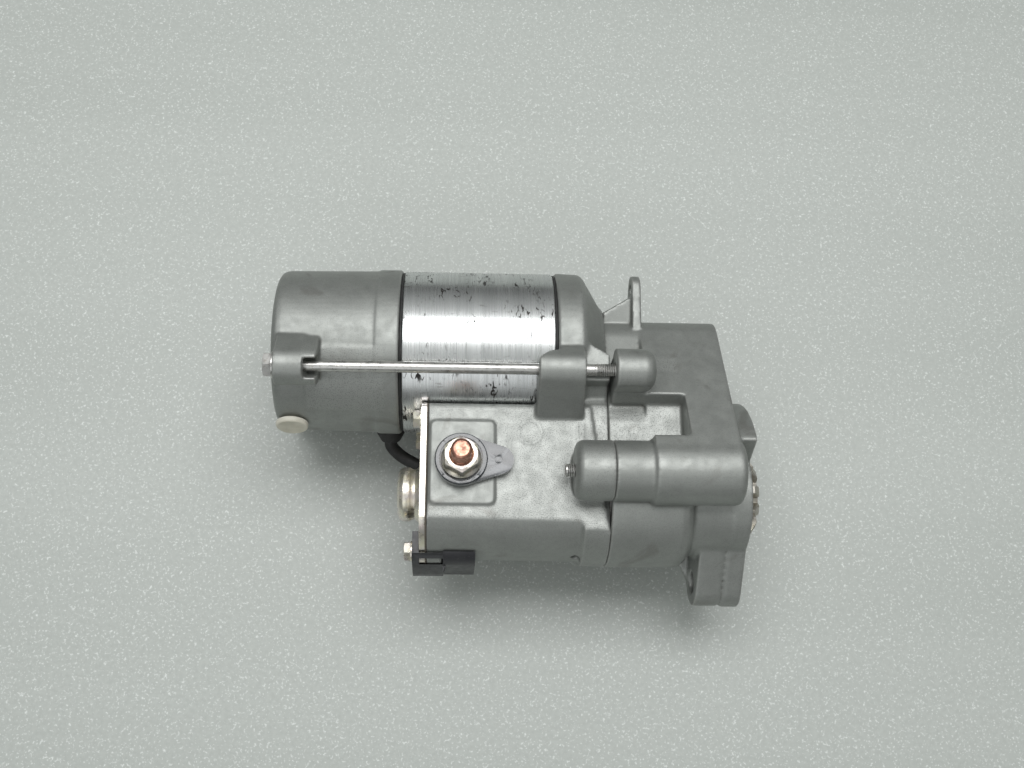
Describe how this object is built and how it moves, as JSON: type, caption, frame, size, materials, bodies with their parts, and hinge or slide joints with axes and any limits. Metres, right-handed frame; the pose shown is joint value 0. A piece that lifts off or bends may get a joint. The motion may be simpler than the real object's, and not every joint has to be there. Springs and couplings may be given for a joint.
{
  "type": "starter motor",
  "caption": "Offset gear-reduction starter: motor beside its magnetic switch, idler and overrunning clutch in a cast nose, pinion that slides out, battery stud and plug socket.",
  "frame": {"origin": "on the pinion axis, 2.5 mm behind the mounting face, in the plane of the nose casting's front lip", "axes": "+X along the pinion axis out of the nose; +Y from the pinion axis towards the motor axis; +Z along the battery terminal stud"},
  "size_m": [0.2257, 0.1591, 0.1088],
  "materials": {
    "cast_aluminium": "as-cast, satin, lightly shot-blasted",
    "yoke_steel": "turned, clear-coated",
    "steel": "machined",
    "zinc_plate": "bright zinc plating",
    "copper": "plain copper",
    "winding": "enamelled copper wire",
    "brass": "plain brass",
    "iron": "electrical steel",
    "black_plastic": "fine moulded",
    "black_rubber": "moulded rubber",
    "insulator": "phenolic moulding",
    "carbon": "copper-graphite",
    "felt": "oiled felt",
    "plug_plastic": "undyed plastic",
    "gasket": "gasket board"
  },
  "bodies": {
    "housing": {"drive_housing": "cast_aluminium", "switch_housing": "cast_aluminium", "yoke": "yoke_steel", "end_frame": "cast_aluminium", "yoke_seals": "black_rubber", "vent_plug": "plug_plastic", "through_bolts": "steel", "housing_screws": "steel", "pole_shoes": "iron", "field_coils": "winding", "brush_holder": "insulator", "brushes": "carbon", "brush_springs": "steel", "rear_bearing": "steel", "front_bearing": "steel", "felt_washer": "felt", "idler_pin": "steel", "clutch_rear_bearing": "steel", "clutch_front_bearing": "steel", "nose_seal": "black_rubber", "plunger_spring": "steel", "core_ring": "iron", "coil_bobbin": "black_plastic", "switch_coil": "winding", "fixed_contacts": "copper", "terminal_stud": "copper", "terminal_insulator": "insulator", "terminal_nut": "zinc_plate", "motor_terminal": "copper", "motor_terminal_insulator": "insulator", "motor_terminal_nut": "zinc_plate", "switch_cover": "zinc_plate", "cover_gasket": "gasket", "cover_bolts": "zinc_plate", "connector_housing": "black_plastic", "connector_blade": "brass", "motor_lead": "black_rubber", "lead_lug": "copper", "lead_grommet": "black_rubber"},
    "armature": {"armature_shaft": "steel", "armature_core": "iron", "armature_windings": "winding", "commutator": "copper", "armature_bearing_rings": "steel"},
    "idler": {"idler_gear": "steel", "idler_rollers": "steel"},
    "clutch_drum": {"clutch_outer": "steel", "clutch_rollers": "steel", "drum_bearing_ring": "steel"},
    "clutch_sleeve": {"clutch_inner": "steel", "pinion_spring": "steel", "sleeve_bearing_ring": "steel"},
    "pinion_unit": {"pinion_shaft": "steel", "pinion": "steel", "pinion_stop": "steel"},
    "plunger_unit": {"plunger": "iron", "plunger_rod": "brass", "contact_plate": "copper", "contact_spring": "steel", "steel_ball": "steel"}
  },
  "joints": [
    {"name": "armature_spin", "type": "hinge", "parent": "housing", "child": "armature", "pos_m": [0, 0.07, 0], "axis": [1, 0, 0], "continuous": true},
    {"name": "idler_spin", "type": "hinge", "parent": "housing", "child": "idler", "pos_m": [0, 0.04375, 0], "axis": [1, 0, 0], "continuous": true},
    {"name": "clutch_spin", "type": "hinge", "parent": "housing", "child": "clutch_drum", "pos_m": [0, 0, 0], "axis": [1, 0, 0], "continuous": true},
    {"name": "overrun", "type": "hinge", "parent": "clutch_drum", "child": "clutch_sleeve", "pos_m": [0, 0, 0], "axis": [1, 0, 0], "continuous": true},
    {"name": "plunger_slide", "type": "slide", "parent": "housing", "child": "plunger_unit", "axis": [1, 0, 0], "range_m": [0, 0.012], "stiffness_N_per_m": 600, "springref_m": -0.006, "deforming": ["plunger_spring"]},
    {"name": "pinion_slide", "type": "slide", "parent": "clutch_sleeve", "child": "pinion_unit", "axis": [1, 0, 0], "range_m": [0, 0.012], "deforming": ["pinion_spring"]}
  ],
  "couplings": [
    {"joint": "idler_spin", "follows": "armature_spin", "ratio": -0.66667},
    {"joint": "clutch_spin", "follows": "armature_spin", "ratio": 0.375},
    {"joint": "pinion_slide", "follows": "plunger_slide", "ratio": 1}
  ]
}
